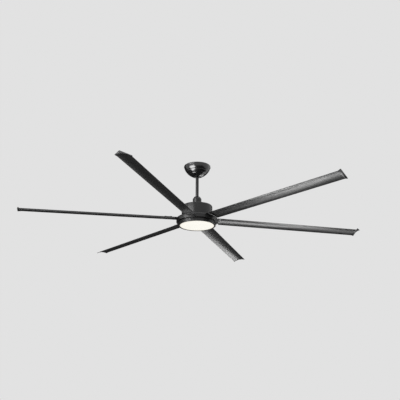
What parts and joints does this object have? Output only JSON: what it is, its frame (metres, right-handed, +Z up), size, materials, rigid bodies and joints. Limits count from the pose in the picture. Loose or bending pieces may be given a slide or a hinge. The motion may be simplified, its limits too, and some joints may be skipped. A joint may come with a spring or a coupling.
{
  "type": "ceiling fan with light",
  "caption": "Black ceiling fan with long metal blades that end in small upright fins, on a short downrod under a domed canopy, with a round flat light below.",
  "frame": {"origin": "on the ceiling plane, at the middle of the top face of the hanging bracket", "axes": "+Z up towards the ceiling along the axis that the fan turns about; +X to the right and +Y away from a viewer who faces the front"},
  "size_m": [2.1044, 2.0424, 0.3944],
  "materials": {
    "black_steel": "satin",
    "black_aluminium": "satin",
    "black_plastic": "satin",
    "zinc_steel": "satin",
    "magnet_grey": "matte",
    "copper": "satin",
    "white_board": "satin",
    "opal_plastic": "satin"
  },
  "bodies": {
    "mount": {"ceiling_bracket": "zinc_steel", "canopy": "black_steel", "canopy_screw_left": "black_steel", "canopy_screw_right": "black_steel", "receiver": "black_plastic"},
    "hanger": {"hanger_ball": "black_plastic", "ball_pin": "zinc_steel", "downrod": "black_steel", "coupling_yoke": "zinc_steel", "clevis_pin": "zinc_steel", "cotter_clip": "zinc_steel", "set_screw_front": "zinc_steel", "set_screw_back": "zinc_steel", "coupling_cover": "black_steel", "motor_shaft": "zinc_steel", "stator_core": "zinc_steel", "stator_winding": "copper", "inner_race_upper": "zinc_steel", "inner_race_lower": "zinc_steel", "light_plate": "zinc_steel", "shaft_nut": "zinc_steel", "led_driver": "black_plastic", "light_housing": "black_steel", "light_bezel": "black_plastic", "led_board": "white_board", "light_diffuser": "opal_plastic"},
    "rotor": {"motor_housing": "black_steel", "blade_ring": "black_aluminium", "ring_cover": "black_steel", "magnet_ring": "magnet_grey", "outer_race_upper": "zinc_steel", "outer_race_lower": "zinc_steel", "ball_cage_upper": "zinc_steel", "ball_cage_lower": "zinc_steel", "arm_clamp_ring": "zinc_steel", "blade_arm_1": "black_aluminium", "blade_arm_2": "black_aluminium", "blade_arm_3": "black_aluminium", "blade_arm_4": "black_aluminium", "blade_arm_5": "black_aluminium", "blade_arm_6": "black_aluminium", "blade_1": "black_aluminium", "blade_2": "black_aluminium", "blade_3": "black_aluminium", "blade_4": "black_aluminium", "blade_5": "black_aluminium", "blade_6": "black_aluminium", "blade_plate_1": "black_steel", "blade_plate_2": "black_steel", "blade_plate_3": "black_steel", "blade_plate_4": "black_steel", "blade_plate_5": "black_steel", "blade_plate_6": "black_steel", "blade_fin_1": "black_plastic", "blade_fin_2": "black_plastic", "blade_fin_3": "black_plastic", "blade_fin_4": "black_plastic", "blade_fin_5": "black_plastic", "blade_fin_6": "black_plastic"}
  },
  "joints": [
    {"name": "ball_swing", "type": "hinge", "parent": "mount", "child": "hanger", "pos_m": [0, 0, -0.044], "axis": [1, 0, 0], "range_deg": [-12, 12]},
    {"name": "fan_spin", "type": "hinge", "parent": "hanger", "child": "rotor", "pos_m": [0, 0, -0.3461], "axis": [0, 0, 1], "continuous": true}
  ]
}
